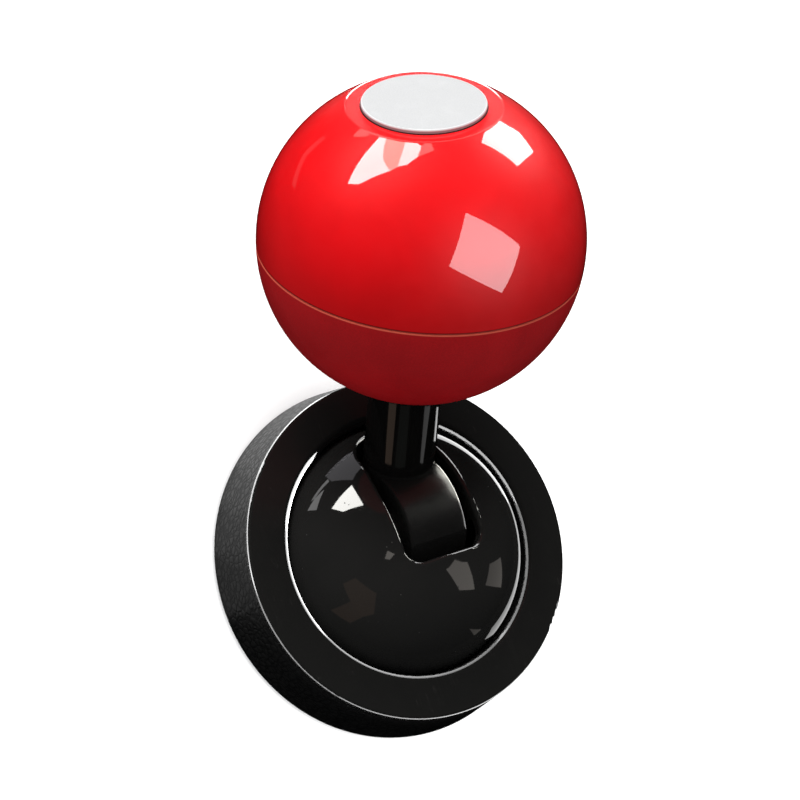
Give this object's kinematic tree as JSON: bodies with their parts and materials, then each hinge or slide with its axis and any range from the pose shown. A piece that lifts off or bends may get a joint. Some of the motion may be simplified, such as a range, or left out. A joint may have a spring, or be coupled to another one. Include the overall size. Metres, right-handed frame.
{
  "type": "pull-down ball joystick button cover",
  "caption": "Ball handle on a leaning lever that tilts in a slotted dome on a round stick-on base; its cam pushes a sprung plunger out of the back to press a button.",
  "frame": {"origin": "centre of the adhesive face, at the mouth of the button recess", "axes": "+Z outward along the base axis, +Y towards the side the lever leans to, +X along the pivot pin; symmetric about X = 0"},
  "size_m": [0.0438, 0.0681, 0.0528],
  "materials": {
    "ring_black": "fine satin face, leather-grained side wall, polished rounded rims",
    "dome_black": "high gloss",
    "inner_black": "plain moulded",
    "screw_steel": "zinc plated",
    "foam_tape": "closed-cell foam, double-sided adhesive",
    "plunger_nylon": "natural nylon",
    "pad_rubber": "soft rubber",
    "spring_steel": "drawn wire and sprung strip",
    "pin_steel": "ground",
    "bush_nylon": "natural nylon",
    "hub_black": "fine satin, slightly textured",
    "stick_black": "gloss black",
    "insert_brass": "turned",
    "lower_red": "gloss",
    "upper_red": "high gloss",
    "badge_silver": "satin with a bevelled edge, blank"
  },
  "bodies": {
    "base": {"base_ring": "ring_black", "dome_cover": "dome_black", "guide_plate": "inner_black", "cover_screws": "screw_steel", "adhesive_ring": "foam_tape", "pivot_pin": "pin_steel", "pin_clips": "spring_steel", "plunger_spring": "spring_steel"},
    "lever": {"lever_hub": "hub_black", "hub_bushes": "bush_nylon", "lever_stud": "screw_steel", "stick_tube": "stick_black", "lock_washer": "spring_steel", "ball_insert": "insert_brass", "ball_lower_shell": "lower_red", "ball_upper_shell": "upper_red", "cap_screw": "screw_steel", "badge_tape": "foam_tape", "badge_disc": "badge_silver"},
    "plunger": {"plunger": "plunger_nylon", "plunger_pad": "pad_rubber"}
  },
  "joints": [
    {"name": "lever_tilt", "type": "hinge", "parent": "base", "child": "lever", "pos_m": [0, 0.0025, 0.01], "axis": [1, 0, 0], "range_deg": [0, 55], "stiffness_Nm_per_rad": 0.0078, "springref_deg": -55},
    {"name": "plunger_slide", "type": "slide", "parent": "base", "child": "plunger", "axis": [0, 0, -1], "range_m": [0, 0.0024], "deforming": ["plunger_spring"]}
  ],
  "couplings": [
    {"joint": "plunger_slide", "follows": "lever_tilt", "m_per_rad": 0.0025}
  ]
}
